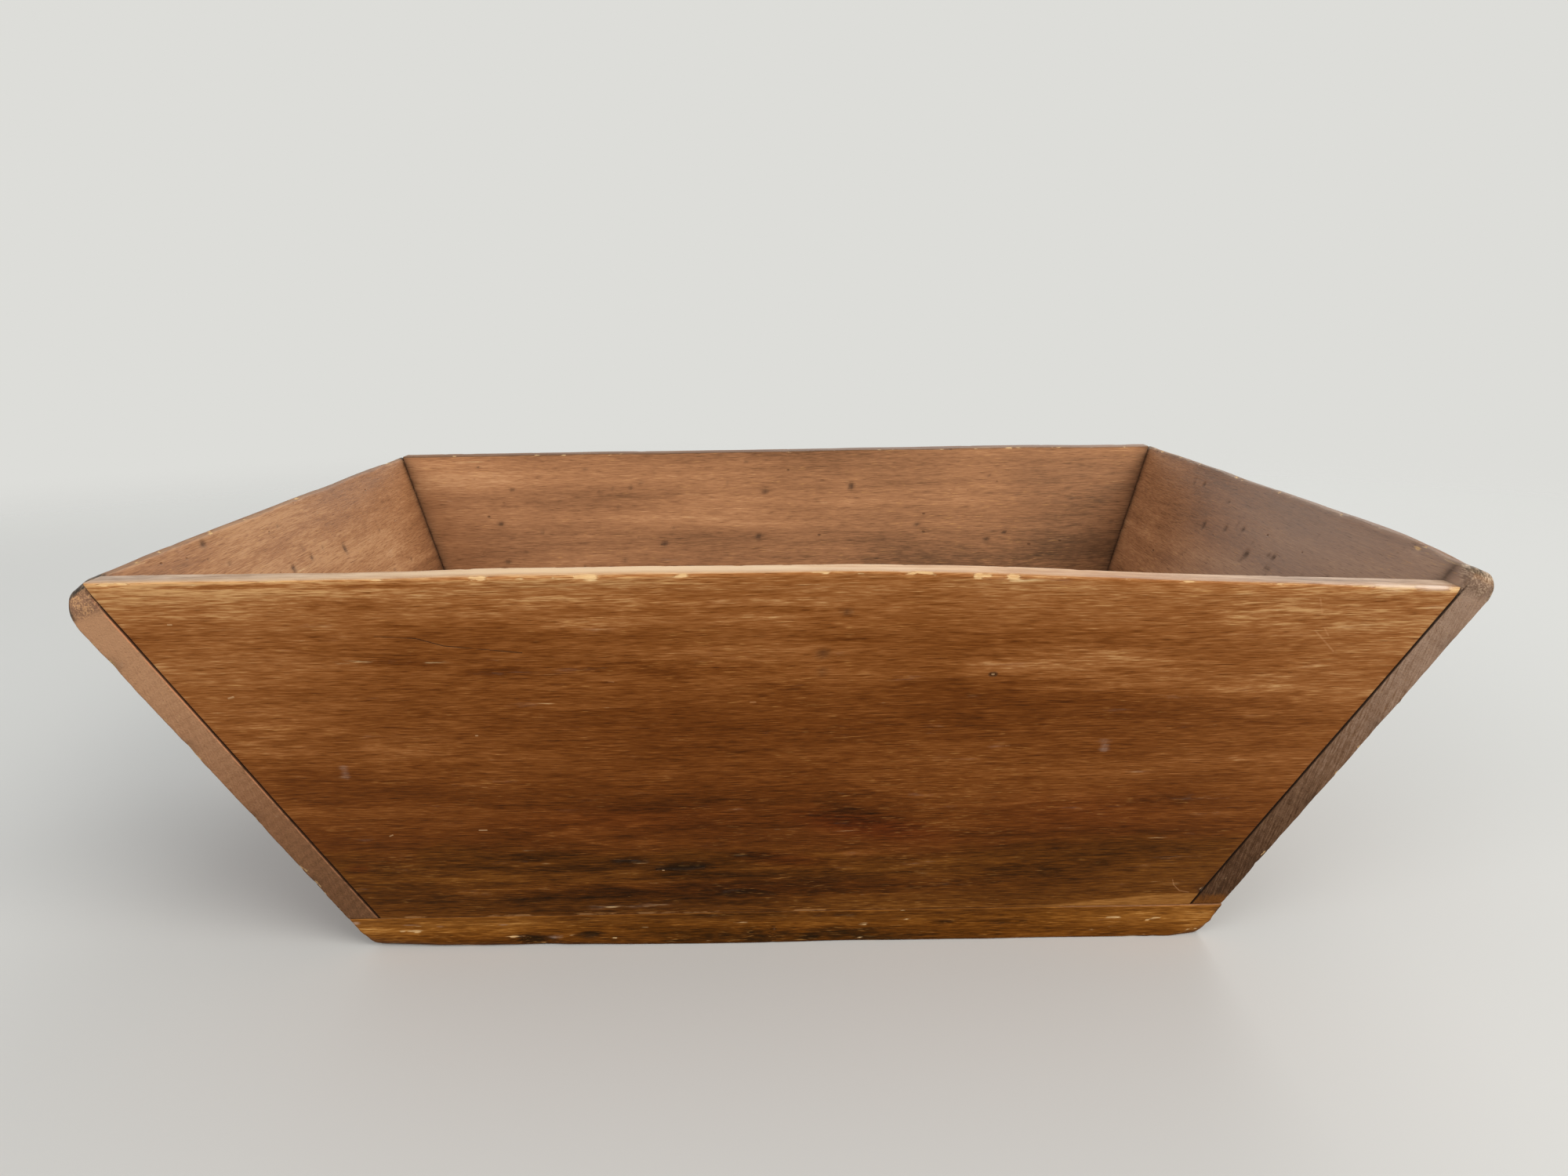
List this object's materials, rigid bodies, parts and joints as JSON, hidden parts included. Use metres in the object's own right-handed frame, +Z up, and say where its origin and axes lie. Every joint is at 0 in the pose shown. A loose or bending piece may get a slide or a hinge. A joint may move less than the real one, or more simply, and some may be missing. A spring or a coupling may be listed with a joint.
{
  "type": "dough box",
  "caption": "Open wooden dough trough with outward leaning plank walls on a flat base, for mixing and raising dough.",
  "frame": {"origin": "middle of the underside of the base, on the table", "axes": "+X along the length, -Y towards the front board, +Z up"},
  "size_m": [0.8454, 0.6364, 0.302],
  "materials": {
    "front_wood": "old satin varnish, worn",
    "back_wood": "old satin varnish, worn",
    "left_wood": "old satin varnish, worn",
    "right_wood": "old satin varnish, worn",
    "base_wood": "old satin varnish, worn",
    "nail_iron": "dull, lightly rusted"
  },
  "bodies": {
    "root": {"front_board": "front_wood", "back_board": "back_wood", "left_end_board": "left_wood", "right_end_board": "right_wood", "base_front_board": "base_wood", "base_back_board": "base_wood", "front_left_nails": "nail_iron", "front_right_nails": "nail_iron", "back_left_nails": "nail_iron", "back_right_nails": "nail_iron", "base_front_nails": "nail_iron", "base_back_nails": "nail_iron", "base_left_nails": "nail_iron", "base_right_nails": "nail_iron"}
  },
  "joints": []
}
